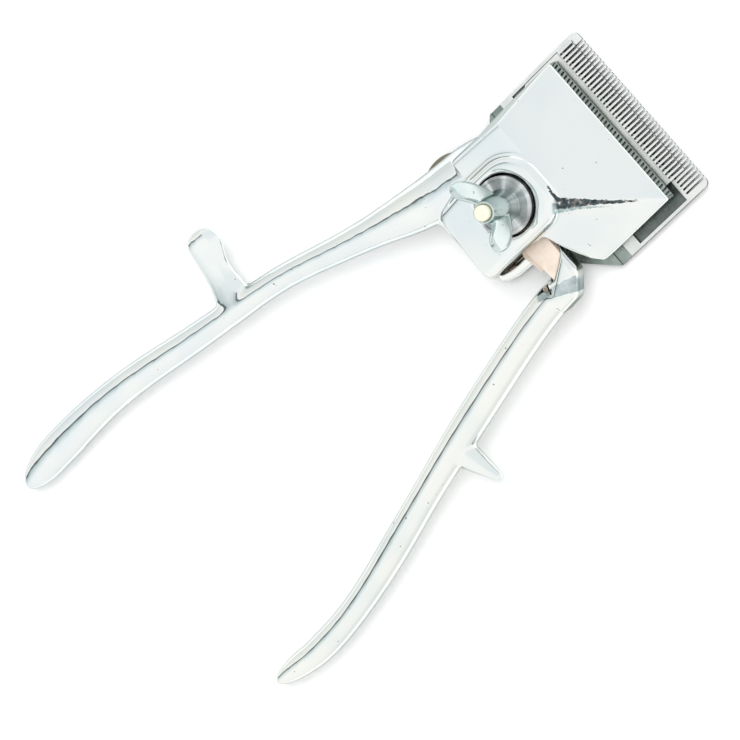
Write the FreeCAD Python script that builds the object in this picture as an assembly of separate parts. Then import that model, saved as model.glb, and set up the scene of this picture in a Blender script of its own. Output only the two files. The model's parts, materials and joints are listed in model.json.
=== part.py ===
"""Hand clipper for sheep: comb, sliding cutter, crank lever and two handles.

Millimetres. The origin lies on the centre stud's axis, in the plane of the comb's sole.
+Y points to the teeth, +X to the moving handle and +Z up the stud.
"""
import FreeCAD, Part
import math
import os

V = FreeCAD.Vector
Z = V(0, 0, 1)

# Comb and cutter
COMB_X = 5.5            # the comb's centre line, right of the stud
COMB_W = 76.0           # three inches over the end teeth
COMB_T = 3.0
COMB_TIP = 57.5         # tips of the comb's teeth
LAND_BACK = 47.0        # rear edge of the comb's front land
RIB_FRONT = 22.2
RIB_BACK = 16.6
RECESS = 1.0            # depth of the relief between land and rib
PITCH = 1.75
GAP_COMB = 0.80
GAP_CUT = 0.85
COMB_GAPS = 40
GAPS_SHIFT = 0.9        # the row of gaps stands this far to the right of the comb's centre line
COMB_ROOT = 48.3        # bottom of the comb's gaps
CUT_W = 64.0
CUT_SHIFT = -4.1        # the cutter's offset when the handles are open
CUT_T = 2.3
CUT_TIP = 54.2
CUT_ROOT = 47.6
CUT_BACK = 17.2
CUT_GAPS = 36

# Crank
ARM = 26.2              # stud to drive pin
SWING = 9.0             # the arm swings this far to each side of straight ahead
PIN_R = 2.0
ROLLER_R = 3.0

# Heights
BASE_Z0 = 3.0
BASE_Z1 = 6.0
HUB_Z0 = 8.6
HUB_Z1 = 16.0
CEIL_Z = 20.0           # ceiling of the barrel's cavity
GATE_Z = 19.4           # crown of the side opening
SEAT_Z = 22.6           # floor of the round recess in the barrel's top
TOP_Z = 26.0            # top of the barrel
CUP_Z = 28.2            # top of the tension cup
NUT_Z = 47.0            # top of the wing nut's hub
LEAF_T = 3.0            # thickness of a wing nut's leaf
LEAF_LEAN = 18.0        # degrees that the leaves lean back
NUT_TURN = -4.0         # where the wing nut stands when tightened
STUD_Z = 49.3

# Round fits
JOURNAL_R = 5.0
THREAD_R = 3.0
BUSH_R = 6.6
HUB_R = 10.5
CUP_R = 11.3
RECESS_R = 12.0
RUN = 0.05              # radial clearance of a running fit

# Cap
CAP_FRONT = 44.5
CAP_LEFT = -28.9
CAP_RIGHT = 38.6
CAP_EDGE_Z = 12.0       # upper front edge
WALL = 2.2
FRONT_LEAN = 0.2        # the front wall leans back by this much per mm of height

MOUTH_X = 15.2          # the base plate ends here, and the lip under the opening starts

# Spring post
POST_X = -19.0
POST_Y = -17.0


def cyl(r, z0, z1, x=0.0, y=0.0):
    return Part.makeCylinder(r, z1 - z0, V(x, y, z0), Z)


def cone(r0, r1, z0, z1, x=0.0, y=0.0):
    return Part.makeCone(r0, r1, z1 - z0, V(x, y, z0), Z)


def box(x0, x1, y0, y1, z0, z1):
    return Part.makeBox(x1 - x0, y1 - y0, z1 - z0, V(x0, y0, z0))


def prism(points, z0, z1):
    """Upright prism on a closed polygon."""
    corners = [V(x, y, z0) for x, y in points]
    wire = Part.makePolygon(corners + [corners[0]])
    return Part.Face(wire).extrude(V(0, 0, z1 - z0))


def rounded(points, z0, z1, radius):
    """Prism with its upright edges rounded."""
    body = prism(points, z0, z1)
    upright = [e for e in body.Edges if abs(e.Vertexes[0].Z - e.Vertexes[-1].Z) > 0.5 * (z1 - z0)]
    return body.makeFillet(radius, upright)


def profile_x(points, x0, x1):
    """Prism along X on a polygon given as (y, z)."""
    corners = [V(x0, y, z) for y, z in points]
    wire = Part.makePolygon(corners + [corners[0]])
    return Part.Face(wire).extrude(V(x1 - x0, 0, 0))


def below_plane(p, q, r, size=400.0):
    """Half space under the plane through three points, as a thick slab."""
    p, q, r = V(*p), V(*q), V(*r)
    n = (q - p).cross(r - p)
    if n.z < 0:
        n = n * -1.0
    n.normalize()
    u = V(1, 0, 0) - n * n.x
    u.normalize()
    v = n.cross(u)
    half = size / 2.0
    corners = [p + u * a + v * b for a, b in ((-half, -half), (half, -half), (half, half), (-half, half))]
    face = Part.Face(Part.makePolygon(corners + [corners[0]]))
    return face.extrude(n * -size)


def ring_wire(x, y, z, ahead, width, height):
    """Ellipse across a bar that runs along the direction 'ahead'."""
    ahead = V(ahead)
    ahead.normalize()
    side = Z.cross(ahead)
    side.normalize()
    up = ahead.cross(side)
    m = FreeCAD.Matrix(
        side.x, up.x, ahead.x, x,
        side.y, up.y, ahead.y, y,
        side.z, up.z, ahead.z, z,
        0, 0, 0, 1,
    )
    wide = max(width, height + 0.01)
    ellipse = Part.Ellipse(V(0, 0, 0), wide / 2.0, height / 2.0)
    wire = Part.Wire([ellipse.toShape()])
    wire.Placement = FreeCAD.Placement(m)
    return wire


def bar(stations):
    """Smooth bar through stations of (x, y, z, width, height)."""
    spots = [V(*s[:3]) for s in stations]
    wires = []
    last = len(spots) - 1
    for i, s in enumerate(stations):
        ahead = spots[min(i + 1, last)] - spots[max(i - 1, 0)]
        wires.append(ring_wire(s[0], s[1], s[2], ahead, s[3], s[4]))
    return Part.makeLoft(wires, True, False)


def knob(x, y, z, along, length, width, height):
    """Half-rounded end of a bar: an ellipsoid lying along a direction."""
    ball = Part.makeSphere(1.0)
    m = FreeCAD.Matrix()
    m.scale(V(length, width / 2.0, height / 2.0))
    egg = ball.transformGeometry(m)
    turn = math.degrees(math.atan2(along[1], along[0]))
    egg.rotate(V(0, 0, 0), Z, turn)
    egg.translate(V(x, y, z))
    return egg


def merge(parts):
    body = parts[0].multiFuse(parts[1:])
    body = body.removeSplitter()
    return body


# ---------------------------------------------------------------- comb and cutter

def tooth_gap(x, root, tip, width):
    """Gap between two teeth, with a round root and a slightly flared mouth."""
    r = width / 2.0
    mouth = r * 1.25
    back = Part.Arc(V(x - r, root + r, -1), V(x, root, -1), V(x + r, root + r, -1)).toShape()
    right = Part.makeLine(V(x + r, root + r, -1), V(x + mouth, tip + 1, -1))
    front = Part.makeLine(V(x + mouth, tip + 1, -1), V(x - mouth, tip + 1, -1))
    left = Part.makeLine(V(x - mouth, tip + 1, -1), V(x - r, root + r, -1))
    return Part.Face(Part.Wire([back, right, front, left])).extrude(V(0, 0, 12))


def gap_row(count, centre, root, tip, width):
    first = centre - PITCH * (count - 1) / 2.0
    return [tooth_gap(first + PITCH * i, root, tip, width) for i in range(count)]


def comb_plate():
    half = COMB_W / 2.0
    outline = [
        (COMB_X - half, COMB_TIP), (COMB_X - half, 11.0), (COMB_X - 25.5, -2.0),
        (COMB_X - 12.0, -14.0), (COMB_X + 12.0, -14.0), (COMB_X + 25.5, -2.0),
        (COMB_X + half, 11.0), (COMB_X + half, COMB_TIP),
    ]
    plate = prism(outline, 0, COMB_T)
    side = [
        (-20, 0), (50.0, 0), (COMB_TIP, 1.5), (COMB_TIP, 2.3), (53.5, COMB_T), (-20, COMB_T),
    ]
    plate = plate.common(profile_x(side, COMB_X - half - 1, COMB_X + half + 1))
    relief = box(COMB_X - half + 1.2, COMB_X + half - 1.2, RIB_FRONT, LAND_BACK, COMB_T - RECESS, 5)
    rear = box(COMB_X - half - 1, COMB_X + half + 1, 11.5, RIB_BACK, COMB_T - RECESS * 0.6, 5)
    plate = plate.cut(relief.fuse(rear))
    corners = [e for e in plate.Edges
               if abs(e.Vertexes[0].Y - COMB_TIP) < 0.01 and abs(e.Vertexes[-1].Y - COMB_TIP) < 0.01
               and abs(e.Vertexes[0].X - e.Vertexes[-1].X) < 0.01]
    plate = plate.makeFillet(2.2, corners)
    plate = plate.cut(gap_row(COMB_GAPS, COMB_X + GAPS_SHIFT, COMB_ROOT, COMB_TIP, GAP_COMB))
    for x, y in COMB_SCREWS:
        plate = plate.cut(screw_hole(x, y, 0.0, COMB_T, 2.1, 3.9))
    plate = plate.cut(cyl(4.3, -1, COMB_T + 1))
    return plate


def cutter_blade():
    centre = COMB_X + CUT_SHIFT
    half = CUT_W / 2.0
    z0 = COMB_T
    side = [
        (CUT_BACK, z0), (CUT_TIP, z0), (CUT_TIP, z0 + 0.7), (CUT_ROOT, z0 + 1.7),
        (CUT_ROOT - 0.4, z0 + CUT_T), (CUT_BACK + 0.6, z0 + CUT_T), (CUT_BACK, z0 + CUT_T - 0.6),
    ]
    blade = profile_x(side, centre - half, centre + half)
    relief = box(centre - half - 1, centre + half + 1, RIB_FRONT + 1.0, LAND_BACK - 3.5, z0 - 1, z0 + 0.4)
    blade = blade.cut(relief)
    for i in (-1, 1):
        x = centre + i * half
        corner = prism([(x, 16), (x, 30), (x - i * 12.0, 16)], z0 - 1, z0 + 5)
        blade = blade.cut(corner)
    blade = blade.cut(gap_row(CUT_GAPS, centre, CUT_ROOT, CUT_TIP, GAP_CUT))
    px, py = pin_spot()
    blade = blade.cut(drive_slot(px, py, z0 - 1, z0 + 5))
    return blade


def pin_spot():
    """Where the drive pin stands when the handles are open."""
    a = math.radians(SWING)
    return (-ARM * math.sin(a), ARM * math.cos(a))


def drive_slot(x, y, z0, z1):
    """Slot that the roller turns in: tight across, long to and fro."""
    r = ROLLER_R + RUN
    far = 0.55
    return merge([
        cyl(r, z0, z1, x, y - far + 0.15),
        cyl(r, z0, z1, x, y + far + 0.15),
        box(x - r, x + r, y - far + 0.15, y + far + 0.15, z0, z1),
    ])


# ---------------------------------------------------------------- screws

COMB_SCREWS = [(-12.0, 4.5), (21.0, 6.0)]
BASE_SCREWS = [(-23.5, 5.5), (10.5, -25.6), (-6.0, -25.0), (26.5, 10.5)]


def screw_hole(x, y, z0, z1, r, head_r):
    """Clearance hole with a countersink at its lower end."""
    return merge([cyl(r, z0 - 1, z1 + 1, x, y), cone(head_r, r, z0, z0 + 1.6, x, y)])


def screw(x, y, z0, z1, r, head_r):
    """Countersunk slotted screw standing upright, its head at z0."""
    body = merge([cone(head_r - 0.12, r, z0 + 0.05, z0 + 1.6, x, y), cyl(r, z0 + 1.0, z1, x, y)])
    body = body.cut(box(x - head_r, x + head_r, y - 0.4, y + 0.4, z0 - 1, z0 + 0.7))
    return body.makeChamfer(0.35, [e for e in body.Edges if abs(e.BoundBox.ZMin - z1) < 0.01])


def comb_screws():
    return Part.makeCompound([screw(x, y, 0.0, BASE_Z1 - 0.1, 1.95, 3.9) for x, y in COMB_SCREWS])


def base_screws():
    return Part.makeCompound([screw(x, y, BASE_Z0, BASE_Z1 + 4.5, 1.5, 3.0) for x, y in BASE_SCREWS])


# ---------------------------------------------------------------- base plate

def base_plate():
    """Unplated plate that closes the barrel and carries the stud and the spring post."""
    outline = [
        (-26.5, 10.0), (-22.0, 16.2), (33.0, 16.2), (34.5, 12.5), (30.0, 8.8),
        (17.6, 3.2), (MOUTH_X - 0.1, 2.9), (MOUTH_X - 0.1, -28.0), (-24.0, -27.0),
    ]
    plate = prism(outline, BASE_Z0, BASE_Z1)
    lobe = cyl(15.0, BASE_Z0, BASE_Z1, POST_X, POST_Y)
    plate = merge([plate, lobe.common(box(-60, 10, -27.6, 20, 0, 9))])
    for x, y in COMB_SCREWS:
        plate = plate.cut(cyl(1.97, 0, 9, x, y))
    for x, y in BASE_SCREWS:
        plate = plate.cut(screw_hole(x, y, BASE_Z0, BASE_Z1, 1.6, 3.0))
    plate = plate.cut(cyl(4.02, 0, 9))
    plate = plate.cut(cyl(2.02, 0, 9, POST_X, POST_Y))
    plate = plate.cut(cyl(1.52, 0, 9, *STOP))
    return plate


# ---------------------------------------------------------------- housing

STOP = (11.62, 6.08)


def cap_body(inset):
    """Fan-shaped cap; 'inset' moves every wall inwards, for the hollow inside it."""
    t = inset
    left, right, front = CAP_LEFT + t, CAP_RIGHT - t, CAP_FRONT - t
    outline = [
        (left, front + 2.0), (left + 0.5, 26.0), (left + 1.3, 14.0), (left + 2.4, 7.0), (left + 2.4, -6.0),
        (17.0, -6.0), (18.6 - t * 0.4, 1.4 + t), (25.4 - t * 0.4, 2.8 + t), (30.2 - t * 0.4, 4.5 + t),
        (right - 4.2, 6.2 + t), (right - 0.4, 9.2 + t), (right, 13.0 + t * 0.5), (right, front + 2.0),
    ]
    body = prism(outline, BASE_Z1, 40.0)
    drop = t * 1.1
    edge = CAP_EDGE_Z - drop
    low_front = front + FRONT_LEAN * (CAP_EDGE_Z - BASE_Z1)
    body = body.common(below_plane((-30, low_front, BASE_Z1), (40, low_front, BASE_Z1), (0, front, CAP_EDGE_Z)))
    body = body.common(below_plane((-30, CAP_FRONT, edge), (40, CAP_FRONT, edge), (0, 17.0, 24.0 - drop)))
    body = body.common(below_plane(
        (CAP_RIGHT, CAP_FRONT, edge), (13.0, 15.5, 24.0 - drop), (CAP_RIGHT, 12.0, 9.0 - drop)))
    body = body.common(below_plane((0, 0, 23.5 - drop), (10, 0, 23.5 - drop), (0, 10, 23.5 - drop)))
    side = below_plane((left, CAP_FRONT, 11.0 - drop), (left, 0.0, 16.0 - drop), (left + 5.0, 10.0, 24.5 - drop))
    return body.common(side)


def barrel_body():
    """Round-shouldered barrel round the stud, with its square rear right corner."""
    tower = prism([(-16.2, 18.3), (-17.0, -26.5), (16.6, -28.3), (16.6, 18.6)], BASE_Z1, TOP_Z)
    for x, y, radius in ((-16.2, 18.3, 14.5), (16.6, 18.6, 11.5), (-17.0, -26.5, 5.0), (16.6, -28.3, 5.0)):
        corner = [e for e in tower.Edges if e.BoundBox.ZLength > 5.0
                  and abs(e.BoundBox.XMin - x) + abs(e.BoundBox.YMin - y) < 0.1]
        tower = tower.makeFillet(radius, corner)
    slope = below_plane((0, -9, TOP_Z), (10, -9, TOP_Z), (0, -28, TOP_Z - 8.0))
    tower = tower.common(slope)
    rim = [e for e in tower.Edges if e.BoundBox.ZMin > TOP_Z - 9.5 and e.BoundBox.ZLength < 9.0]
    return tower.makeFillet(3.2, [e for e in rim if not is_crease(e)])


def is_crease(edge):
    """The straight crease where the barrel's top starts to fall away behind the recess."""
    size = edge.BoundBox
    return size.XLength > 20.0 and size.YLength < 0.1 and size.YMax > -15.0


def mouth_lip():
    """Lip of the casting under the side opening; it stands out past the barrel's wall."""
    outline = [
        (MOUTH_X, -28.6), (17.4, -28.2), (19.2, -25.8), (20.4, -21.0), (20.8, -13.0), (20.3, -4.0),
        (18.9, 2.2), (MOUTH_X, 2.6),
    ]
    lip = prism(outline, BASE_Z0, 8.0)
    top = [e for e in lip.Edges if e.BoundBox.ZMin > 7.99 and e.BoundBox.XMax > MOUTH_X + 2.0]
    return lip.makeChamfer(1.2, top)


def shoulder():
    """Low skirt under the root of the fixed handle, on the left of the barrel."""
    outline = [
        (-26.4, 9.0), (-28.0, 2.5), (-29.8, -3.0), (-31.0, -9.0), (-31.3, -15.0), (-31.2, -22.0),
        (-32.2, -28.5), (-20.0, -29.5), (4.0, -28.0), (4.0, 9.0),
    ]
    skirt = prism(outline, BASE_Z1, 15.0)
    upper = [e for e in skirt.Edges if e.BoundBox.ZMin > 14.9 and e.BoundBox.XMax < -25.0]
    return skirt.makeFillet(1.8, upper)


def fixed_handle():
    """Handle in one piece with the casting; its root swells into a shoulder beside the barrel."""
    stations = [
        (-15.5, 9.0, 13.0, 20.6, 19.0),
        (-17.7, -2.0, 13.2, 23.8, 19.4),
        (-20.1, -13.0, 13.3, 22.3, 17.4),
        (-22.7, -24.0, 13.2, 19.4, 14.6),
        (-25.1, -34.0, 13.0, 17.8, 12.6),
        (-28.6, -46.0, 12.6, 14.8, 11.3),
        (-35.0, -67.5, 11.7, 11.5, 10.0),
        (-43.0, -94.0, 10.6, 10.4, 9.5),
        (-47.5, -118.0, 9.7, 10.8, 9.3),
        (-52.5, -147.5, 8.6, 11.9, 9.2),
        (-57.2, -173.0, 7.6, 12.8, 9.2),
        (-60.0, -200.0, 6.5, 14.2, 9.1),
        (-60.2, -228.0, 5.5, 15.2, 8.8),
    ]
    return merge([bar(stations), knob(-60.2, -228.0, 5.5, (0.08, -1.0), 20.5, 15.1, 8.7)])


def fixed_rest():
    """Paddle-shaped finger rest of the fixed handle."""
    stations = [
        (-46.0, -117.0, 9.8, 17.0, 8.4),
        (-56.0, -116.3, 9.9, 15.0, 7.4),
        (-62.5, -115.0, 10.2, 12.8, 6.6),
        (-68.0, -113.4, 10.8, 13.6, 6.2),
        (-73.0, -111.4, 11.4, 15.6, 6.2),
        (-77.0, -110.8, 12.0, 14.5, 6.0),
    ]
    return merge([bar(stations), knob(-76.8, -110.8, 12.0, (-1.0, 0.1), 4.8, 14.4, 5.9)])


def barrel_hollow():
    """Cavity for the lever's hub and the return spring, open at the right."""
    room = rounded([(-27.5, 4.0), (-27.5, -25.0), (15.0, -26.0), (15.0, 14.0), (-14.0, 14.0)],
                   0, CEIL_Z, 2.5)
    room = room.common(cyl(24.8, 0, 60, -2.5, -4.0).fuse(box(-27.5, -10, -25, 3, 0, 13.8)))
    low = below_plane((-31.0, 0.0, 11.0), (-31.0, -20.0, 11.5), (-14.0, -5.0, 21.0))
    room = room.common(low)
    room = room.common(below_plane((0, -9, 21.5), (10, -9, 21.5), (0, -28, 13.5)))
    gate = box(10.0, 30.0, -26.5, 1.6, 0, GATE_Z)
    upper = [e for e in gate.Edges if e.BoundBox.ZMin > GATE_Z - 0.01 and e.BoundBox.XLength > 10]
    gate = gate.makeFillet(11.0, [e for e in upper if e.BoundBox.YMax < 0])
    return merge([room, gate])


def housing():
    """One casting: cap, barrel, shoulder, fixed handle and finger rest."""
    solid = merge([cap_body(0.0), barrel_body(), shoulder()])
    solid = merge([solid, fixed_handle(), fixed_rest()])
    hollow = cap_body(WALL).cut(box(-60, 60, -60, 8.0, 0, 60))
    arm_way = prism([(-14.0, 6.0), (-14.0, 16.0), (10.0, 16.0), (10.0, 6.0)], 0, 15.0)
    keep = cyl(3.6, BASE_Z1, 30, *BASE_SCREWS[3]).fuse(cyl(3.6, BASE_Z1, 30, *BASE_SCREWS[0]))
    inner = merge([hollow, arm_way, barrel_hollow()]).cut(keep)
    solid = solid.cut(inner)
    solid = solid.cut(box(-100, 100, -31.5, 60, -5, BASE_Z1))
    solid = merge([solid, mouth_lip()])
    for x, y in BASE_SCREWS:
        solid = solid.cut(cyl(1.52, 0, BASE_Z1 + 5.0, x, y))
    solid = solid.cut(cyl(RECESS_R, SEAT_Z, 60))
    solid = solid.cut(cone(RECESS_R - 0.2, RECESS_R + 0.7, TOP_Z - 0.5, TOP_Z + 0.4))
    solid = solid.cut(cyl(CUP_R + 0.15, 10, 60))
    return solid


# ---------------------------------------------------------------- lever train

def neck():
    """Flat neck of the lever, with a lower flange along its rear edge."""
    flat = prism([(0.0, 1.0), (4.0, 7.5), (15.5, 0.8), (32.5, 0.4), (33.0, -8.0),
                  (18.0, -9.4), (0.0, -9.0)], 11.0, HUB_Z1)
    flange = prism([(0.0, -8.0), (17.5, -12.4), (26.0, -10.6), (26.0, -7.0), (0.0, 0.0)], 10.0, 13.4)
    return merge([flat, flange])


def lever():
    """Unplated lever: hub on the stud, drive arm ahead, tail behind, neck to the right."""
    px, py = pin_spot()
    hub = cyl(HUB_R, HUB_Z0, HUB_Z1)
    arm = prism([(-9.5, 2.0), (px - 5.0, py - 2.0), (px + 5.0, py - 1.0), (8.4, 2.6)], HUB_Z0, 12.4)
    boss = cyl(5.2, HUB_Z0 - 1.6, 12.4, px, py)
    tail = rounded([(-4.0, -9.0), (-13.7, -6.0), (-13.95, -2.6), (-3.0, 0.0)], HUB_Z0, 12.4, 1.0)
    body = merge([hub, arm, boss, neck(), tail])
    body = body.cut(cyl(BUSH_R, 0, 40))
    body = body.cut(cyl(PIN_R, 0, 40, px, py))
    for x, y in RIVETS:
        body = body.cut(cyl(1.5, 0, 14.5, x, y))
    return body


RIVETS = [(31.4, -1.6), (31.4, -5.9)]


def pivot_bush():
    return cyl(BUSH_R, HUB_Z0 - 0.1, HUB_Z1 + 0.1).cut(cyl(JOURNAL_R + RUN, 0, 40))


def drive_pin():
    px, py = pin_spot()
    body = merge([cyl(PIN_R, 3.2, 12.7, px, py), cone(2.9, 2.4, 12.4, 13.2, px, py)])
    return body


def drive_roller():
    px, py = pin_spot()
    body = cyl(ROLLER_R, 3.2, HUB_Z0 - 1.8, px, py).cut(cyl(PIN_R + 0.03, 0, 40, px, py))
    return body


def handle_rivets():
    rivets = []
    for x, y in RIVETS:
        rivets.append(merge([cyl(1.5, 7.9, 14.5, x, y), cone(2.3, 1.5, 8.1, 8.9, x, y)]))
    return Part.makeCompound(rivets)


def moving_rest():
    stations = [
        (48.0, -86.5, 10.9, 14.5, 8.0),
        (57.0, -84.0, 10.9, 11.4, 7.4),
        (65.0, -81.3, 11.4, 7.2, 6.2),
        (71.0, -79.3, 12.2, 4.4, 4.2),
    ]
    return merge([bar(stations), knob(70.9, -79.3, 12.2, (1.0, 0.3), 2.6, 4.3, 4.1)])


def moving_handle():
    """Chrome handle: head over the lever's neck, bent back into the long grip."""
    head = prism([(23.0, 1.8), (34.5, 1.8), (42.4, -5.5), (43.0, -14.0), (30.2, -14.0), (29.4, -7.0),
                  (28.6, -3.0)], 8.4, 17.8)
    upright = [e for e in head.Edges if abs(e.Vertexes[0].Z - e.Vertexes[-1].Z) > 5.0
               and e.Vertexes[0].X > 33 and e.Vertexes[0].Y > -8]
    head = head.makeFillet(3.5, upright)
    top = [e for e in head.Edges if e.BoundBox.ZMin > 17.7 and e.BoundBox.YMax > -13.9
           and e.BoundBox.XMax > 31]
    head = head.makeFillet(2.2, top)
    scoop = below_plane((30.0, -14.0, 11.6), (37.2, -13.6, 18.0), (31.2, -5.0, 17.8))
    head = head.common(scoop)
    stations = [
        (36.4, -13.0, 12.9, 12.9, 9.9),
        (37.9, -25.0, 12.7, 13.0, 9.9),
        (42.6, -48.5, 12.0, 13.2, 9.8),
        (48.9, -76.0, 11.2, 13.2, 9.6),
        (57.6, -110.5, 9.9, 12.0, 9.2),
        (64.8, -137.5, 8.8, 12.2, 9.0),
        (70.4, -162.0, 7.8, 11.4, 8.9),
        (73.0, -182.0, 7.0, 11.6, 8.7),
        (73.2, -197.0, 6.3, 10.8, 8.5),
    ]
    grip = merge([bar(stations), knob(73.15, -195.5, 6.35, (-0.09, -1.0), 20.0, 10.9, 8.45)])
    body = merge([head, grip, moving_rest()])
    body = body.cut(neck())
    for x, y in RIVETS:
        body = body.cut(cyl(1.5, 0, 14.5, x, y)).cut(cone(2.3, 1.5, 8.1, 8.9, x, y))
        body = body.cut(cyl(2.4, 0, 8.1, x, y))
    return body


# ---------------------------------------------------------------- stud and tension

def centre_stud():
    """Journal for the lever below, thread for the wing nut above, riveted in the base plate."""
    body = merge([
        cyl(4.0, 1.0, BASE_Z1 + 0.5),
        cyl(7.6, BASE_Z1, BASE_Z1 + 1.6),
        cyl(JOURNAL_R, BASE_Z1 + 1.0, HUB_Z1 + 1.6),
        cyl(THREAD_R, HUB_Z1, STUD_Z),
    ])
    tip = [e for e in body.Edges if e.BoundBox.ZMin > STUD_Z - 0.01]
    return body.makeFillet(0.9, tip)


def hub_washer():
    return cyl(9.6, HUB_Z0 - 0.9, HUB_Z0 - 0.2).cut(cyl(JOURNAL_R + RUN, 0, 40))


def thrust_washer():
    return cyl(7.9, HUB_Z1 + 0.2, HUB_Z1 + 1.4).cut(cyl(JOURNAL_R + RUN, 0, 40))


def coil(radius, wire, z0, z1, turns, x=0.0, y=0.0):
    """Helical spring body between two heights, measured over the wire."""
    lift = z1 - z0 - wire
    helix = Part.makeHelix(lift / turns, lift, radius)
    start = V(radius, 0, 0)
    section = Part.Wire([Part.Circle(start, V(0, 1, 0), wire / 2.0).toShape()])
    body = Part.Wire(helix.Edges).makePipeShell([section], True, True)
    body.translate(V(x, y, z0 + wire / 2.0))
    return body


def tension_spring():
    return coil(6.2, 1.7, HUB_Z1 + 1.45, CUP_Z - 2.05, 3.0)


def tension_cup():
    """Dark steel cup over the tension spring, guided by the bore in the barrel's top."""
    body = cyl(CUP_R, 18.2, CUP_Z)
    body = body.makeFillet(1.2, [e for e in body.Edges if e.BoundBox.ZMin > CUP_Z - 0.01])
    body = body.cut(cyl(CUP_R - 1.6, 0, CUP_Z - 2.0))
    groove = cyl(CUP_R - 1.4, CUP_Z - 0.5, CUP_Z + 1).cut(cyl(6.6, 0, 60))
    body = body.cut(groove)
    return body.cut(cyl(THREAD_R + 0.3, 0, 60))


def wing(side):
    """One leaf of the wing nut: a broad ear, flared outwards and leaning back."""
    points = [
        V(side * 2.5, 0, 31.6), V(side * 5.6, 0, 32.9), V(side * 10.0, 0, 36.2), V(side * 13.9, 0, 41.0),
        V(side * 15.4, 0, 46.4), V(side * 14.0, 0, 50.2), V(side * 10.4, 0, 49.9), V(side * 7.0, 0, 46.0),
        V(side * 2.5, 0, 42.0),
    ]
    curve = Part.BSplineCurve()
    curve.interpolate(points[:])
    close = Part.makeLine(points[-1], points[0])
    leaf = Part.Face(Part.Wire([curve.toShape(), close])).extrude(V(0, LEAF_T, 0))
    leaf.translate(V(0, -LEAF_T / 2.0, 0))
    leaf = leaf.makeFillet(LEAF_T * 0.42, [e for e in leaf.Edges if e.Length > 20.0])
    leaf.rotate(V(0, 0, 38.0), V(1, 0, 0), LEAF_LEAN)
    leaf.rotate(V(0, 0, 0), Z, NUT_TURN)
    return leaf


def wing_nut():
    hub = merge([
        cone(6.5, 5.9, CUP_Z, CUP_Z + 3.0),
        cone(5.9, 4.0, CUP_Z + 3.0, NUT_Z),
    ])
    body = merge([hub, wing(1), wing(-1)])
    return body.cut(cyl(THREAD_R + RUN, 0, 60)).cut(cone(3.0, 3.7, NUT_Z - 0.7, NUT_Z, 0, 0))


# ---------------------------------------------------------------- return spring and pins

def spring_post():
    """Shouldered post on the base plate that the return spring is wound round."""
    body = merge([
        cyl(2.0, BASE_Z0 + 0.1, BASE_Z1 + 0.5, POST_X, POST_Y),
        cyl(3.2, BASE_Z1, 10.8, POST_X, POST_Y),
    ])
    return body


def return_spring():
    """Hairpin torsion spring: a coil round the post, one leg on the wall, one on the lever's tail."""
    wire, radius = 1.4, 4.3
    low, high = BASE_Z1 + 0.2 + wire / 2.0, 11.4 - wire / 2.0
    turns, steps = 2.5, 30
    path = [V(POST_X - radius - 2.4, POST_Y + 13.0, low), V(POST_X - radius - 0.9, POST_Y + 6.0, low)]
    for i in range(steps + 1):
        a = math.pi + 2.0 * math.pi * turns * i / steps
        spot = V(radius * math.cos(a), radius * math.sin(a), low + (high - low) * i / steps)
        path.append(spot + V(POST_X, POST_Y, 0))
    path.append(V(POST_X + radius, POST_Y + 6.0, high))
    path.append(V(POST_X + radius, POST_Y + 12.5, high))
    curve = Part.BSplineCurve()
    curve.interpolate(path)
    ahead = path[1] - path[0]
    section = Part.Wire([Part.Circle(path[0], ahead, wire / 2.0).toShape()])
    return Part.Wire([curve.toShape()]).makePipeShell([section], True, True)


def stop_pin():
    """Pin that the lever's neck rests on when the handles are open."""
    x, y = STOP
    return merge([cyl(1.5, BASE_Z0 + 0.1, BASE_Z1 + 0.5, x, y), cyl(2.55, BASE_Z1, 14.5, x, y)])


NODES = {
    "housing": housing,
    "comb_plate": comb_plate,
    "comb_screws": comb_screws,
    "base_plate": base_plate,
    "base_screws": base_screws,
    "cutter_blade": cutter_blade,
    "lever": lever,
    "pivot_bush": pivot_bush,
    "drive_pin": drive_pin,
    "drive_roller": drive_roller,
    "moving_handle": moving_handle,
    "handle_rivets": handle_rivets,
    "centre_stud": centre_stud,
    "hub_washer": hub_washer,
    "thrust_washer": thrust_washer,
    "tension_spring": tension_spring,
    "tension_cup": tension_cup,
    "wing_nut": wing_nut,
    "spring_post": spring_post,
    "return_spring": return_spring,
    "stop_pin": stop_pin,
}


def main():
    os.makedirs("parts", exist_ok=True)
    for name, make in NODES.items():
        shape = make()
        box_ = shape.BoundBox
        print(name, shape.isValid(), len(shape.Solids), round(shape.Volume, 1),
              [round(v, 1) for v in (box_.XMin, box_.XMax, box_.YMin, box_.YMax, box_.ZMin, box_.ZMax)])
        shape.exportStep("parts/" + name + ".step")


main()
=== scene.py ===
"""A chrome hand clipper on a pale floor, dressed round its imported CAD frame."""
import json
import math

import bpy
import numpy as np
from mathutils import Matrix, Vector

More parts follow.
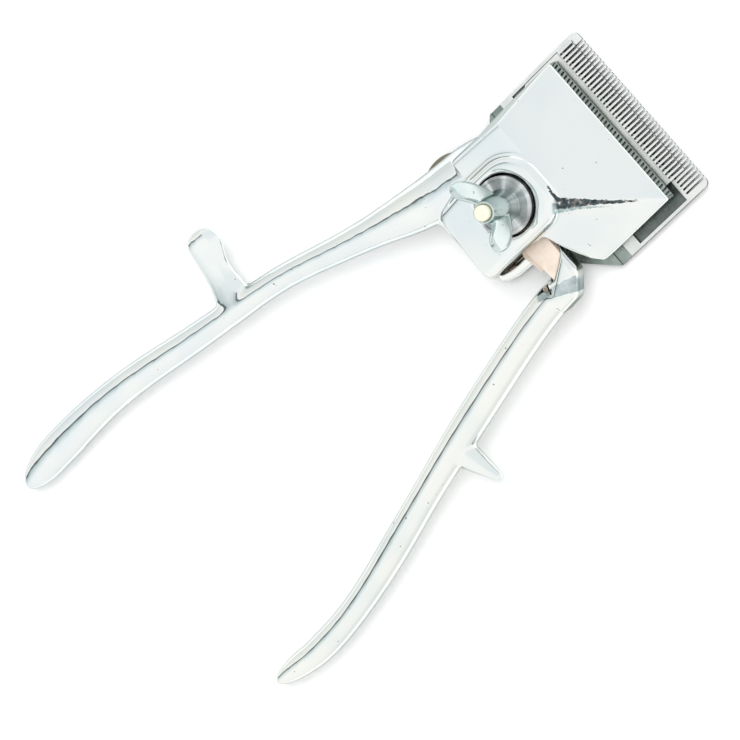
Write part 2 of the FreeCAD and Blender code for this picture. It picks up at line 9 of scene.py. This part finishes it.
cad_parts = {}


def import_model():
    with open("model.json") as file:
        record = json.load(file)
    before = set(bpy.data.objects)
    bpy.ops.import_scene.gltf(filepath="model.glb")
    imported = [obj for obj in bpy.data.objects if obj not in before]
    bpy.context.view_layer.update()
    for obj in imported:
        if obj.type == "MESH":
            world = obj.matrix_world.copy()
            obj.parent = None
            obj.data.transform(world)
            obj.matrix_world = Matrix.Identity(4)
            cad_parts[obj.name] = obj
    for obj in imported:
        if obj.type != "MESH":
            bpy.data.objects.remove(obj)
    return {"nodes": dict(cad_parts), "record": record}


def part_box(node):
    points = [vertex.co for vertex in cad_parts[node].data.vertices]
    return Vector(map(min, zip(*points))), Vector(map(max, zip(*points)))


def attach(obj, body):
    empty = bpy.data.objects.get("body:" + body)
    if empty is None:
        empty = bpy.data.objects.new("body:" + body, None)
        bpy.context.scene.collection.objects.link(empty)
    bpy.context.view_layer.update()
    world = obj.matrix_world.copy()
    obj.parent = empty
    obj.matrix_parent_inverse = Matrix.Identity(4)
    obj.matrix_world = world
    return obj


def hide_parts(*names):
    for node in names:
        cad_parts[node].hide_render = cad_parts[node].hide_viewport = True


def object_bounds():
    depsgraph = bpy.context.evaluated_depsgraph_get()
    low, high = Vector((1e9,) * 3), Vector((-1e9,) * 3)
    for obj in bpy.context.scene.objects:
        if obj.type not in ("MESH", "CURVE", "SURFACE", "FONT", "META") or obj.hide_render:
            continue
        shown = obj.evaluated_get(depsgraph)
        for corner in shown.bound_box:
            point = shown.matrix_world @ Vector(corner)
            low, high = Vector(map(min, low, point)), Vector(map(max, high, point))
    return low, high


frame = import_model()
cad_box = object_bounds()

MM = 0.001
NODES = frame["nodes"]
WELD_GAP = 0.002 * MM

# The frame's origin is on the stud's axis, with X to the right, Y towards the teeth and Z up.
CAP_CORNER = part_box("housing")[1]  # in plan, the cap's front right
COMB_LOW, COMB_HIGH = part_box("comb_plate")
BLADE_LOW, BLADE_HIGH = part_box("cutter_blade")
GRIP_LOW, GRIP_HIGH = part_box("moving_handle")
GRIP_ROOT = Vector((GRIP_LOW.x, GRIP_HIGH.y))  # in plan, the moving handle's corner by the barrel


def beside(corner, x, y):
    """A place in plan, x and y mm from a corner."""
    return Vector((corner.x + x * MM, corner.y + y * MM))


# ---------------------------------------------------------------- meshes

def copy_of(node, name):
    """A new object with a copy of a CAD node's mesh."""
    ob = bpy.data.objects.new(name, NODES[node].data.copy())
    bpy.context.scene.collection.objects.link(ob)
    return ob


def remesh(ob, voxel):
    """Even quads over the whole surface, as a mesh of the object's own."""
    weld = ob.modifiers.new("weld", "WELD")
    weld.merge_threshold = WELD_GAP
    mod = ob.modifiers.new("remesh", "REMESH")
    mod.mode = "VOXEL"
    mod.voxel_size = voxel
    mod.use_smooth_shade = True
    graph = bpy.context.evaluated_depsgraph_get()
    mesh = bpy.data.meshes.new_from_object(ob.evaluated_get(graph))
    ob.modifiers.clear()
    ob.data = mesh
    mesh.materials.clear()


def read_points(mesh):
    """A mesh's points, one row of x, y and z each."""
    points = np.empty(len(mesh.vertices) * 3)
    mesh.vertices.foreach_get("co", points)
    return points.reshape(-1, 3)


def relax(ob, amount, rounds, fill=False):
    """Softens creases: each point moves towards its neighbours by amount(points), from 0 to 1.

    Every other turn moves it part of the way back, so that the object keeps its size. With 'fill' the
    points only move outwards, so inner corners fill up and nothing gets thinner.
    """
    mesh = ob.data
    points = read_points(mesh)
    edges = np.empty(len(mesh.edges) * 2, dtype=np.int64)
    mesh.edges.foreach_get("vertices", edges)
    a, b = edges.reshape(-1, 2).T
    share = amount(points)[:, None]
    pull_in, push_back = 0.62, -0.30
    busy = (share[a, 0] > 0.0) | (share[b, 0] > 0.0)
    a, b = a[busy], b[busy]
    count = np.maximum(np.bincount(a, minlength=len(points)) + np.bincount(b, minlength=len(points)), 1)
    outward = np.empty(len(points) * 3)
    mesh.vertex_normals.foreach_get("vector", outward)
    outward = outward.reshape(-1, 3)
    for turn in range(rounds * 2):
        total = np.empty_like(points)
        for axis in range(3):
            total[:, axis] = (np.bincount(a, points[b, axis], len(points))
                              + np.bincount(b, points[a, axis], len(points)))
        pull = total / count[:, None] - points
        if fill:
            out = np.maximum((pull * outward).sum(axis=1), 0.0)[:, None] * outward
            points = points + out * share * pull_in
        else:
            points = points + pull * share * (pull_in if turn % 2 == 0 else push_back)
    mesh.vertices.foreach_set("co", points.ravel())
    mesh.update()


def band(x, low, high):
    """0 below low, 1 above high, smooth between."""
    t = np.clip((x - low) / (high - low), 0.0, 1.0)
    return t * t * (3.0 - 2.0 * t)


def bevel(node, width):
    """Rounds a CAD node's sharp edges."""
    ob = NODES[node]
    weld = ob.modifiers.new("weld", "WELD")
    weld.merge_threshold = WELD_GAP
    mod = ob.modifiers.new("edges", "BEVEL")
    mod.width = width
    mod.segments = 2
    mod.limit_method = "ANGLE"
    mod.angle_limit = math.radians(35)
    mod.harden_normals = True


# ---------------------------------------------------------------- materials

def new_material(name):
    """A material with its node tree and its main shader."""
    mat = bpy.data.materials.new(name)
    mat.use_nodes = True
    tree = mat.node_tree
    return mat, tree, tree.nodes["Principled BSDF"]


def add(tree, kind, **values):
    """A new shader node with its settings."""
    node = tree.nodes.new(kind)
    for key, value in values.items():
        setattr(node, key, value)
    return node


def noise(tree, scale, detail=4.0, stretch=(1, 1, 1)):
    """Noise over the object's own coordinates; the scale is in cycles per metre."""
    where = add(tree, "ShaderNodeTexCoord")
    mapping = add(tree, "ShaderNodeMapping")
    mapping.inputs["Scale"].default_value = stretch
    tex = add(tree, "ShaderNodeTexNoise")
    tex.inputs["Scale"].default_value = scale
    tex.inputs["Detail"].default_value = detail
    tex.inputs["Roughness"].default_value = 0.55
    tree.links.new(where.outputs["Object"], mapping.inputs["Vector"])
    tree.links.new(mapping.outputs["Vector"], tex.inputs["Vector"])
    return tex.outputs["Fac"]


def ramp(tree, fac, stops):
    """Colour ramp; each stop is (position, colour)."""
    node = add(tree, "ShaderNodeValToRGB")
    while len(node.color_ramp.elements) < len(stops):
        node.color_ramp.elements.new(0.5)
    for element, (position, colour) in zip(node.color_ramp.elements, stops):
        element.position = position
        element.color = (*colour, 1.0)
    tree.links.new(fac, node.inputs["Fac"])
    return node.outputs["Color"]


def grey(v):
    """A neutral colour, or a plain value for a ramp."""
    return (v, v, v)


def mix(tree, fac, a, b):
    """Colour a where fac is 0 and colour b where it is 1."""
    node = add(tree, "ShaderNodeMix", data_type="RGBA")
    tree.links.new(fac, node.inputs[0])
    tree.links.new(a, node.inputs[6])
    tree.links.new(b, node.inputs[7])
    return node.outputs[2]


def bump(tree, shader, height, strength, distance):
    """Faint relief, too small for the mesh."""
    node = add(tree, "ShaderNodeBump")
    node.inputs["Strength"].default_value = strength
    node.inputs["Distance"].default_value = distance
    tree.links.new(height, node.inputs["Height"])
    tree.links.new(node.outputs["Normal"], shader.inputs["Normal"])


def where_xyz(tree):
    """The object's own x, y and z, in metres."""
    spot = add(tree, "ShaderNodeTexCoord")
    parts = add(tree, "ShaderNodeSeparateXYZ")
    tree.links.new(spot.outputs["Object"], parts.inputs["Vector"])
    return parts.outputs


def maths(tree, operation, *values):
    """A maths node on sockets and plain numbers."""
    node = add(tree, "ShaderNodeMath", operation=operation)
    for slot, value in zip(node.inputs, values):
        if isinstance(value, (int, float)):
            slot.default_value = value
        else:
            tree.links.new(value, slot)
    return node.outputs[0]


def between(tree, value, low, high, invert=False):
    """0 below low and 1 above high, or the other way round."""
    node = add(tree, "ShaderNodeMapRange", interpolation_type="SMOOTHSTEP")
    tree.links.new(value, node.inputs["Value"])
    node.inputs["From Min"].default_value = low
    node.inputs["From Max"].default_value = high
    node.inputs["To Min"].default_value = 1.0 if invert else 0.0
    node.inputs["To Max"].default_value = 0.0 if invert else 1.0
    return node.outputs["Result"]


def constant(tree, colour):
    """One colour, as an input for a mix."""
    node = add(tree, "ShaderNodeRGB")
    node.outputs[0].default_value = (*colour, 1.0)
    return node.outputs[0]


def streak(tree, start, end, wide, narrow, stop_at):
    """1 in a ragged streak from start towards end, seen from above.

    It is 'wide' to each side of its line at the start, thins to 'narrow' and ends at 'stop_at' of the way.
    """
    wander, thinning = 1.5 * MM, 2.2
    x, y, _ = where_xyz(tree)
    length = (end - start).length
    way = (end - start).normalized()
    from_x = maths(tree, "SUBTRACT", x, start.x)
    from_y = maths(tree, "SUBTRACT", y, start.y)
    along = maths(tree, "ADD", maths(tree, "MULTIPLY", from_x, way.x),
                  maths(tree, "MULTIPLY", from_y, way.y))
    across = maths(tree, "SUBTRACT", maths(tree, "MULTIPLY", from_x, way.y),
                   maths(tree, "MULTIPLY", from_y, way.x))
    ragged = maths(tree, "MULTIPLY", maths(tree, "SUBTRACT", noise(tree, 750.0, 3.0), 0.5), wander)
    off_line = maths(tree, "ABSOLUTE", maths(tree, "ADD", across, ragged))
    part = maths(tree, "DIVIDE", along, length)
    left = maths(tree, "MAXIMUM", maths(tree, "SUBTRACT", 1.0, part), 0.0)
    taper = maths(tree, "MULTIPLY", maths(tree, "POWER", left, thinning), wide - narrow)
    half = maths(tree, "ADD", narrow, taper)
    inside = between(tree, maths(tree, "SUBTRACT", off_line, half), -0.10 * MM, 0.12 * MM, invert=True)
    ahead = between(tree, part, -0.04, 0.0)
    stop = between(tree, part, stop_at - 0.08, stop_at, invert=True)
    return maths(tree, "MULTIPLY", maths(tree, "MULTIPLY", inside, ahead), stop)


# painted reflection and shade streaks: start, end, half width there and at the thin end, and the part of
# the way where they stop
RIDGE = (beside(CAP_CORNER, -25.6, -30.1), beside(CAP_CORNER, -1.1, -2.5), 2.3 * MM, 0.25 * MM, 0.78)
HOOK = (beside(CAP_CORNER, -25.0, -29.5), beside(CAP_CORNER, -34.0, -28.1), 0.9 * MM, 0.30 * MM, 0.9)
GREY_REFLECTION = (beside(CAP_CORNER, -25.0, -32.3), beside(CAP_CORNER, -11.6, -17.1), 2.2 * MM, 0.1 * MM, 1.0)
ELBOW_REFLECTION = (beside(GRIP_ROOT, 15.6, -3.4), beside(GRIP_ROOT, 8.8, -20.7), 3.2 * MM, 1.7 * MM, 0.98)


def painted_front_wall(tree, tone):
    """The cap's front wall: painted dark reflection, and a painted shadow, nearly black, at its foot just
    over the cutter.
    """
    _, y, z = where_xyz(tree)
    wall_top = COMB_HIGH.z + 8.1 * MM
    foot_top = BLADE_HIGH.z + 1.0 * MM
    wall = maths(tree, "MULTIPLY", between(tree, y, CAP_CORNER.y - 1.6 * MM, CAP_CORNER.y - 1.25 * MM),
                 between(tree, z, wall_top, wall_top + 0.5 * MM, invert=True))
    foot = between(tree, z, foot_top, foot_top + 0.6 * MM, invert=True)
    # painted dark reflection on the cap's front wall
    painted_dark = ramp(tree, noise(tree, 160.0, 3.0), [(0.35, (0.36, 0.41, 0.385)), (0.65, (0.50, 0.55, 0.525))])
    # painted shadow, nearly black, along the wall's foot over the cutter
    foot_shadow = ramp(tree, noise(tree, 300.0), [(0.0, grey(0.02)), (1.0, grey(0.06))])
    return mix(tree, wall, tone, mix(tree, foot, painted_dark, foot_shadow))


def painted_cap_streaks(tree, tone):
    """Painted dark reflection along the cap's ridge, a painted grey reflection under it, and a hook of
    painted shade round the barrel's collar.
    """
    tone = painted_front_wall(tree, tone)
    # painted grey reflection beside the ridge
    reflection_tone = ramp(tree, noise(tree, 420.0, 3.0), [(0.40, (0.36, 0.47, 0.48)), (0.66, (0.72, 0.78, 0.79))])
    tone = mix(tree, streak(tree, *GREY_REFLECTION), tone, reflection_tone)
    # painted dark reflection along the ridge and painted shade at the collar's foot
    stain = ramp(tree, noise(tree, 520.0, 4.0), [
        (0.35, (0.03, 0.045, 0.05)), (0.52, (0.09, 0.12, 0.125)),
        (0.60, (0.36, 0.29, 0.28)), (0.66, (0.80, 0.82, 0.82)),
    ])
    dark_streaks = maths(tree, "MAXIMUM", streak(tree, *RIDGE), streak(tree, *HOOK))
    return mix(tree, dark_streaks, tone, stain)


def painted_elbow_reflection(tree, tone):
    """Painted grey reflection on the facet at the moving handle's elbow."""
    # painted reflection: a grey patch on the elbow's facet
    elbow_reflection_tone = ramp(tree, noise(tree, 190.0, 3.0), [(0.35, (0.36, 0.42, 0.43)), (0.68, (0.66, 0.72, 0.73))])
    return mix(tree, streak(tree, *ELBOW_REFLECTION), tone, elbow_reflection_tone)


def chrome(name, light, shade, rough=(0.04, 0.11), rim=(0.36, 0.40, 0.38), painted_light=None):
    """Old bright plate: broad clouds, slight haze, a few dark pits and a darker tone towards its outline.

    The last argument is a function that adds a piece's own painted reflections and shade to the tone.
    """
    mat, tree, shader = new_material(name)
    clouds = ramp(tree, noise(tree, 26.0, 2.0), [(0.38, shade), (0.60, light)])
    pits = ramp(tree, noise(tree, 620.0, 1.0), [(0.775, grey(0.0)), (0.80, grey(1.0))])
    dark = ramp(tree, noise(tree, 300.0, 1.0), [(0.0, (0.13, 0.13, 0.12)), (1.0, (0.26, 0.25, 0.22))])
    tone = mix(tree, pits, clouds, dark)
    # the piece's painted reflections and shade
    if painted_light:
        tone = painted_light(tree, tone)
    tree.links.new(tone, shader.inputs["Base Color"])
    haze = ramp(tree, noise(tree, 130.0, 5.0), [(0.3, grey(rough[0])), (0.75, grey(rough[1]))])
    tree.links.new(haze, shader.inputs["Roughness"])
    shader.inputs["Metallic"].default_value = 1.0
    shader.inputs["Specular Tint"].default_value = (*rim, 1.0)
    bump(tree, shader, noise(tree, 48.0, 2.0), 0.06, 0.5 * MM)
    return mat


def stained(tree, tone, depth):
    """The tone with uneven darker stains."""
    stain = ramp(tree, noise(tree, 110.0, 5.0), [(0.38, grey(1.0 - depth)), (0.62, grey(1.0))])
    mul = add(tree, "ShaderNodeMix", data_type="RGBA", blend_type="MULTIPLY")
    mul.inputs[0].default_value = 1.0
    tree.links.new(tone, mul.inputs[6])
    tree.links.new(stain, mul.inputs[7])
    return mul.outputs[2]


def steel(name, light, shade, rough, scale=700.0, metallic=1.0, stain=0.2):
    """Plain metal with fine grain and uneven tone."""
    mat, tree, shader = new_material(name)
    grain = noise(tree, scale)
    tone = stained(tree, ramp(tree, grain, [(0.3, shade), (0.7, light)]), stain)
    tree.links.new(tone, shader.inputs["Base Color"])
    tree.links.new(ramp(tree, grain, [(0.3, grey(rough[0])), (0.7, grey(rough[1]))]),
                   shader.inputs["Roughness"])
    shader.inputs["Metallic"].default_value = metallic
    bump(tree, shader, grain, 0.12, 0.05 * MM)
    return mat


def up_face(tree):
    """1 on faces that look up or down, 0 on the sides of slots and teeth."""
    geometry = add(tree, "ShaderNodeNewGeometry")
    parts = add(tree, "ShaderNodeSeparateXYZ")
    tree.links.new(geometry.outputs["True Normal"], parts.inputs["Vector"])
    return between(tree, maths(tree, "ABSOLUTE", parts.outputs[2]), 0.3, 0.75)


def comb_painted_shade(tree, tone, sole):
    """Painted shade between the comb's teeth where the cutter runs, and a darker tone behind the cutter,
    painted as shade under the cap.
    """
    x, y, _ = where_xyz(tree)
    above_sole = maths(tree, "SUBTRACT", 1.0, sole)
    gap_shade_rear = COMB_HIGH.y - 8.5 * MM
    strip = maths(tree, "MULTIPLY", between(tree, y, gap_shade_rear - 0.4 * MM, gap_shade_rear),
                  between(tree, y, BLADE_HIGH.y - 1.2 * MM, BLADE_HIGH.y + 0.5 * MM, invert=True))
    strip = maths(tree, "MULTIPLY", strip, above_sole)
    run = maths(tree, "MULTIPLY", between(tree, x, BLADE_LOW.x - 0.4 * MM, BLADE_LOW.x + 0.2 * MM),
                between(tree, x, BLADE_HIGH.x - 0.2 * MM, BLADE_HIGH.x + 0.4 * MM, invert=True))
    # painted shade, nearly black, between the teeth under the cutter
    gap_shade = ramp(tree, noise(tree, 500.0, 3.0), [(0.3, (0.03, 0.04, 0.035)), (0.7, (0.09, 0.105, 0.10))])
    tone = mix(tree, maths(tree, "MULTIPLY", strip, run), tone, gap_shade)
    shade_front_edge = BLADE_LOW.y - 0.6 * MM
    behind = between(tree, y, shade_front_edge - 0.5 * MM, shade_front_edge, invert=True)
    # painted shade on the comb behind the cutter, under the cap
    painted_dark = ramp(tree, noise(tree, 150.0, 5.0), [(0.35, (0.22, 0.27, 0.245)), (0.7, (0.40, 0.455, 0.425))])
    return mix(tree, maths(tree, "MULTIPLY", behind, above_sole), tone, painted_dark)


def toothed(name, light, shade, deep, low, high, comb=False):
    """Ground plate: bright at the height 'high', dark grey-green at 'low', and painted shade, nearly black,
    on upright sides.

    The comb also has a bright sole, bright tips ahead of the cutter and painted shade between and behind
    its teeth.
    """
    mat, tree, shader = new_material(name)
    _, y, z = where_xyz(tree)
    grain = noise(tree, 700.0, 4.0, (1, 9, 1))
    bright_tone = stained(tree, ramp(tree, grain, [(0.3, shade), (0.7, light)]), 0.12)
    deeper = [c * 0.72 for c in deep]
    deep_tone = stained(tree, ramp(tree, noise(tree, 240.0, 5.0), [(0.3, deeper), (0.7, deep)]), 0.3)
    raised = between(tree, z, low, high)
    if comb:
        sole = between(tree, z, COMB_LOW.z + 0.2 * MM, COMB_LOW.z + 0.5 * MM, invert=True)
        tips = between(tree, y, BLADE_HIGH.y, BLADE_HIGH.y + 0.5 * MM)
        raised = maths(tree, "MAXIMUM", maths(tree, "MAXIMUM", raised, sole), tips)
    tone = mix(tree, raised, deep_tone, bright_tone)
    if comb:
        tone = comb_painted_shade(tree, tone, sole)
    # painted shade: the upright sides of slots and teeth made nearly black
    tone = mix(tree, up_face(tree), constant(tree, (0.03, 0.034, 0.032)), tone)
    tree.links.new(tone, shader.inputs["Base Color"])
    tree.links.new(ramp(tree, grain, [(0.3, grey(0.22)), (0.7, grey(0.4))]), shader.inputs["Roughness"])
    shader.inputs["Metallic"].default_value = 0.85
    bump(tree, shader, grain, 0.10, 0.05 * MM)
    return mat


def turned_disc(name):
    """Dark turned face with painted highlights: bright streaks out from its centre."""
    mat, tree, shader = new_material(name)
    spot = add(tree, "ShaderNodeTexCoord")
    flat = add(tree, "ShaderNodeVectorMath", operation="MULTIPLY")
    flat.inputs[1].default_value = (1, 1, 0)
    tree.links.new(spot.outputs["Object"], flat.inputs[0])
    unit = add(tree, "ShaderNodeVectorMath", operation="NORMALIZE")
    tree.links.new(flat.outputs[0], unit.inputs[0])
    fan = add(tree, "ShaderNodeTexNoise")
    fan.inputs["Scale"].default_value = 0.8
    fan.inputs["Detail"].default_value = 1.0
    tree.links.new(unit.outputs[0], fan.inputs["Vector"])
    # painted highlights: bright radial streaks fixed to the disc
    painted_highlights = ramp(tree, fan.outputs["Fac"], [(0.38, (0.35, 0.36, 0.37)), (0.46, (0.52, 0.54, 0.54)),
                                              (0.52, (0.86, 0.88, 0.88)), (0.60, (0.38, 0.39, 0.40))])
    tree.links.new(stained(tree, painted_highlights, 0.2), shader.inputs["Base Color"])
    shader.inputs["Metallic"].default_value = 0.9
    tree.links.new(ramp(tree, noise(tree, 400.0), [(0.3, grey(0.16)), (0.7, grey(0.30))]),
                   shader.inputs["Roughness"])
    return mat


def paint(name, mat):
    """Gives a shown object its material."""
    ob = NODES[name] if name in NODES else bpy.data.objects[name]
    ob.data.materials.clear()
    ob.data.materials.append(mat)


# ---------------------------------------------------------------- pieces

def shell(node, name, body, voxel, amount, rounds):
    """A softened copy of a CAD node, shown in its place."""
    ob = copy_of(node, name)
    remesh(ob, voxel)
    relax(ob, amount, rounds)
    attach(ob, body)
    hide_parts(node)
    return ob


def cap_and_root(points):
    """Full behind the cap and at its left, and a third on its front right, where the ridge stays crisp."""
    behind = band(-points[:, 1], -30 * MM, -8 * MM)
    at_left = band(-points[:, 0], 10 * MM, 24 * MM)
    return 0.35 + 0.65 * np.maximum(behind, at_left)


def finger_corner(points):
    """Full where the finger rest meets the fixed handle."""
    middle = beside(CAP_CORNER, -90.6, -161.7)
    away = np.hypot(points[:, 0] - middle.x, points[:, 1] - middle.y)
    return 1.0 - band(away, 12 * MM, 19 * MM)


def fixed_handle(points):
    """Full along the fixed handle, nothing on the cap and the barrel."""
    return band(-points[:, 1], 24 * MM, 32 * MM)


def moving_grip(points):
    """Strong along the grip and weak at the elbow, whose facet stays crisp."""
    return 0.9 - 0.6 * band(points[:, 0] - 0.27 * np.abs(points[:, 1]), 34 * MM, 37 * MM)


def evenly(points):
    """The same everywhere."""
    return np.full(len(points), 0.6)


def rounds_for(fine_rounds):
    return fine_rounds


VOXEL = 0.45 * MM
housing = shell("housing", "housing_shell", "head", VOXEL, cap_and_root, rounds_for(16))
relax(housing, finger_corner, rounds_for(80), fill=True)
relax(housing, fixed_handle, rounds_for(30))
shell("moving_handle", "moving_handle_shell", "lever_and_handle", VOXEL, moving_grip, rounds_for(24))
shell("wing_nut", "wing_nut_shell", "wing_nut", 0.3 * MM, evenly, 5)

EDGE_WIDTH = {"comb_plate": 0.12, "cutter_blade": 0.10, "lever": 0.35, "tension_cup": 0.15,
              "centre_stud": 0.1, "base_plate": 0.25}
for node, width in EDGE_WIDTH.items():
    bevel(node, width * MM)

cap_chrome = chrome("chrome", (0.925, 0.94, 0.915), (0.84, 0.885, 0.90), painted_light=painted_cap_streaks)
handle_chrome = chrome("handle chrome", (0.925, 0.93, 0.90), (0.84, 0.88, 0.87), painted_light=painted_elbow_reflection)
nut_plate = chrome("nut plate", (0.74, 0.80, 0.785), (0.60, 0.69, 0.68), (0.08, 0.18), (0.32, 0.40, 0.38))
ground = toothed("ground steel", (0.96, 0.96, 0.94), (0.83, 0.84, 0.81), (0.21, 0.245, 0.235),
                 COMB_HIGH.z - 0.8 * MM, COMB_HIGH.z - 0.2 * MM, comb=True)
blade = toothed("blade steel", (0.97, 0.97, 0.94), (0.82, 0.83, 0.80), (0.25, 0.27, 0.26),
                BLADE_LOW.z + 0.35 * MM, BLADE_LOW.z + 0.6 * MM)
bare = steel("bare casting", (0.90, 0.78, 0.68), (0.80, 0.66, 0.55), (0.5, 0.7),
             scale=260.0, metallic=0.0, stain=0.1)
rust = steel("brown plate", (0.36, 0.31, 0.22), (0.20, 0.18, 0.13), (0.4, 0.6), scale=300.0, metallic=0.6)
turned = steel("turned steel", (0.55, 0.55, 0.54), (0.40, 0.40, 0.40), (0.22, 0.35))
cup_dark = turned_disc("dark cup")
brassy = steel("pale brass", (0.92, 0.90, 0.76), (0.84, 0.80, 0.62), (0.3, 0.45), metallic=0.25, stain=0.08)
wire = steel("spring wire", (0.38, 0.39, 0.42), (0.24, 0.25, 0.28), (0.2, 0.35))

COAT = {
    "housing_chrome": cap_chrome, "handle_chrome": handle_chrome, "nut_chrome": nut_plate,
    "comb_steel": ground, "cutter_steel": blade, "base_steel": rust, "lever_steel": bare,
    "pin_steel": turned, "rivet_steel": turned, "screw_steel": turned, "washer_steel": turned,
    "spring_steel": wire, "cup_steel": cup_dark, "bush_brass": brassy, "stud_metal": brassy,
}
for subpart in frame["record"]["subparts"]:
    node, slot = subpart["node"], subpart["material_slot"]
    made = node + "_shell"
    paint(made if made in bpy.data.objects else node, COAT[slot])


# ---------------------------------------------------------------- studio

def floor():
    """A wide pale floor, a little under the object."""
    half, gap = 4.0, 0.3 * MM
    mesh = bpy.data.meshes.new("floor")
    corners = [(-half, -half, 0), (half, -half, 0), (half, half, 0), (-half, half, 0)]
    mesh.from_pydata(corners, [], [(0, 1, 2, 3)])
    ob = bpy.data.objects.new("floor", mesh)
    bpy.context.scene.collection.objects.link(ob)
    ob.location.z = cad_box[0][2] - gap
    mat, tree, shader = new_material("floor")
    tree.links.new(ramp(tree, noise(tree, 3.0), [(0.3, grey(0.95)), (0.7, grey(0.97))]),
                   shader.inputs["Base Color"])
    shader.inputs["Roughness"].default_value = 0.9
    shader.inputs["Specular IOR Level"].default_value = 0.1
    mesh.materials.append(mat)


def world():
    """White studio, grey-blue in places, with a thin dark gap at the rear left.

    The gap's reflection is the dark line along the handles.
    """
    made = bpy.data.worlds.new("studio")
    made.use_nodes = True
    bpy.context.scene.world = made
    tree = made.node_tree
    back = tree.nodes["Background"]
    spot = add(tree, "ShaderNodeTexCoord")
    parts = add(tree, "ShaderNodeSeparateXYZ")
    tree.links.new(spot.outputs["Generated"], parts.inputs["Vector"])
    tex = add(tree, "ShaderNodeTexNoise")
    tex.inputs["Scale"].default_value = 2.2
    tex.inputs["Detail"].default_value = 2.0
    tree.links.new(spot.outputs["Generated"], tex.inputs["Vector"])
    wobble = maths(tree, "MULTIPLY", maths(tree, "SUBTRACT", tex.outputs["Fac"], 0.5), 0.16)
    across = maths(tree, "ADD", parts.outputs[0], wobble)
    side = maths(tree, "ADD", maths(tree, "MULTIPLY", across, 0.5), 0.5)
    # both run from the far left, 0, to the far right, 1
    sweep = ramp(tree, side, [
        (0.00, (0.74, 0.77, 0.75)), (0.18, (0.90, 0.91, 0.89)), (0.226, (1.0, 1.0, 0.98)),
        (0.236, (0.14, 0.16, 0.16)), (0.262, (0.10, 0.12, 0.12)), (0.280, (0.50, 0.58, 0.59)),
        (0.37, (0.82, 0.87, 0.88)), (0.46, (0.98, 1.0, 1.0)), (0.62, (1.0, 0.995, 0.98)),
        (0.86, (0.97, 0.975, 0.96)), (1.0, (0.80, 0.82, 0.80)),
    ])
    plain = ramp(tree, side, [
        (0.00, (0.80, 0.83, 0.81)), (0.12, (0.95, 0.96, 0.95)), (0.30, (0.84, 0.88, 0.90)),
        (0.44, (0.86, 0.895, 0.91)), (0.58, (0.99, 1.0, 1.0)), (1.0, (0.98, 0.99, 0.98)),
    ])
    behind = between(tree, parts.outputs[1], -0.14, 0.0, invert=True)
    tree.links.new(mix(tree, behind, plain, sweep), back.inputs["Color"])
    back.inputs["Strength"].default_value = 1.02


def key_light():
    """A soft lamp, high up ahead and to the left, that the bright plate doesn't reflect."""
    light = bpy.data.lights.new("key", "AREA")
    light.energy = 15.0
    light.size = 1.2
    place = Vector((-0.5, 0.6, 1.5))
    ob = bpy.data.objects.new("key", light)
    bpy.context.scene.collection.objects.link(ob)
    ob.location = place
    ob.rotation_euler = (-place).to_track_quat("-Z", "Y").to_euler()
    ob.visible_glossy = False


def camera():
    """Looks down at the clipper from ahead and to its right, rolled onto its side."""
    azimuth, elevation, roll = math.radians(161.53), math.radians(63.96), math.radians(113.68)
    distance = 1.1263
    aim = Vector((7.1 * MM, -91.5 * MM, 12.0 * MM))
    back = Vector((math.sin(azimuth) * math.cos(elevation), -math.cos(azimuth) * math.cos(elevation),
                   math.sin(elevation)))
    up = (Vector((0, 0, 1)) - back * back.z).normalized()
    side = up.cross(back)
    turned_up = up * math.cos(roll) + side * math.sin(roll)
    turned_side = turned_up.cross(back)
    data = bpy.data.cameras.new("camera")
    data.sensor_width = 36.0
    data.lens = 141.7
    data.clip_end = 20.0
    ob = bpy.data.objects.new("camera", data)
    bpy.context.scene.collection.objects.link(ob)
    place = Matrix((turned_side, turned_up, back)).transposed().to_4x4()
    place.translation = aim + back * distance
    ob.matrix_world = place
    bpy.context.scene.camera = ob


floor()
world()
key_light()
camera()
bpy.context.scene.view_settings.view_transform = "Standard"
